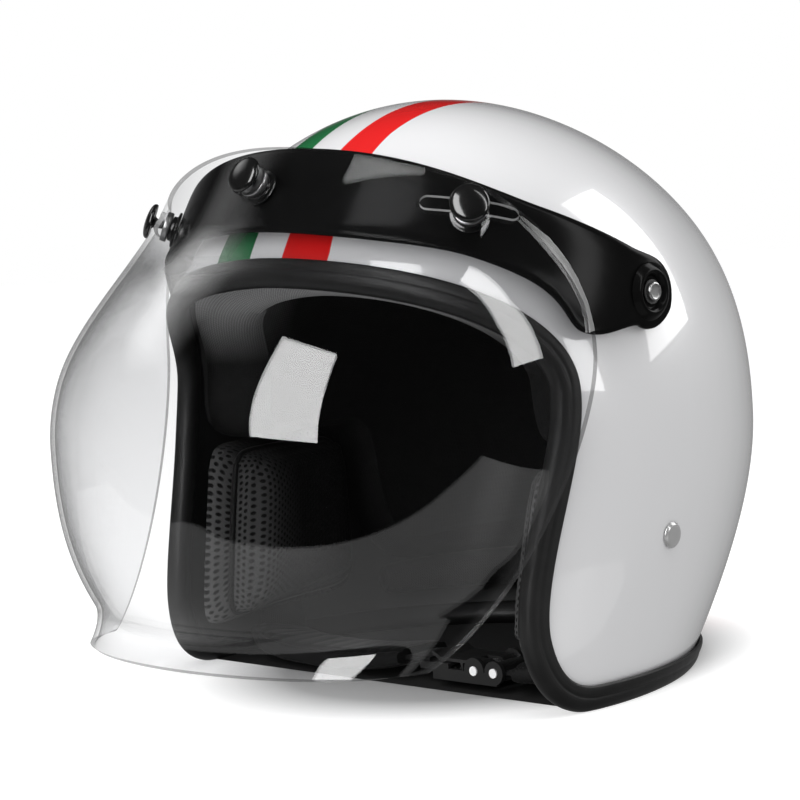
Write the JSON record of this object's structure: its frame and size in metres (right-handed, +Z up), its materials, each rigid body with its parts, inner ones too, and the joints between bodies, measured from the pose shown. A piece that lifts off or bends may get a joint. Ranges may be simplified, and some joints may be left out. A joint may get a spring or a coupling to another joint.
{
  "type": "open face motorcycle helmet",
  "caption": "Open face helmet with a flip-up bubble shield held by press studs, rubber edge trim, padded lining and a padded chin strap with a quick-release ratchet buckle.",
  "frame": {"origin": "centre of the box that holds the part, on the plane that the rim rests on", "axes": "+Z up, the face looks along -Y, the wearer's left is +X"},
  "size_m": [0.2566, 0.344, 0.2519],
  "materials": {
    "shell_paint": "gloss white with lengthwise stripes",
    "trim_rubber": "satin",
    "foam": "expanded foam, matte",
    "lining_knit": "fine knit",
    "pad_mesh": "air mesh",
    "plate_plastic": "moulded",
    "rivet_chrome": "polished",
    "steel": "plated",
    "webbing": "woven",
    "strap_pad": "padded sleeve",
    "buckle_dark": "satin black",
    "lever_plastic": "moulded",
    "tongue_plastic": "moulded",
    "band_plastic": "gloss black",
    "bubble_clear": "clear, lightly smoked",
    "snap_plastic": "gloss black"
  },
  "bodies": {
    "helmet": {"outer_shell": "shell_paint", "edge_trim": "trim_rubber", "impact_liner": "foam", "comfort_lining": "lining_knit", "neck_roll": "lining_knit", "cheek_pad_left": "pad_mesh", "cheek_pad_right": "pad_mesh", "cheek_plate_left": "plate_plastic", "cheek_plate_right": "plate_plastic", "pad_studs": "plate_plastic", "strap_rivets": "rivet_chrome", "rivet_washers": "steel", "strap_hangers": "steel", "chin_strap_left": "webbing", "chin_strap_right": "webbing", "strap_pad_left": "strap_pad", "strap_pad_right": "strap_pad", "buckle_housing": "buckle_dark", "buckle_pins": "steel", "buckle_spring": "steel", "buckle_tongue": "tongue_plastic", "pivot_posts": "rivet_chrome", "pivot_bosses": "band_plastic", "pivot_nuts": "steel", "pivot_washers": "plate_plastic"},
    "shield": {"shield_band": "band_plastic", "shield_bubble": "bubble_clear", "snap_studs": "snap_plastic", "snap_backs": "steel", "snap_sockets": "steel", "snap_caps": "snap_plastic"},
    "lever": {"buckle_lever": "lever_plastic"}
  },
  "joints": [
    {"name": "shield_flip", "type": "hinge", "parent": "helmet", "child": "shield", "pos_m": [0, 0.006, 0.166], "axis": [-1, 0, 0], "range_deg": [0, 70]},
    {"name": "buckle_release", "type": "hinge", "parent": "helmet", "child": "lever", "pos_m": [0.05, -0.014, 0.0095], "axis": [0, 1, 0], "range_deg": [0, 25], "stiffness_Nm_per_rad": 0.05, "springref_deg": -11.46}
  ]
}
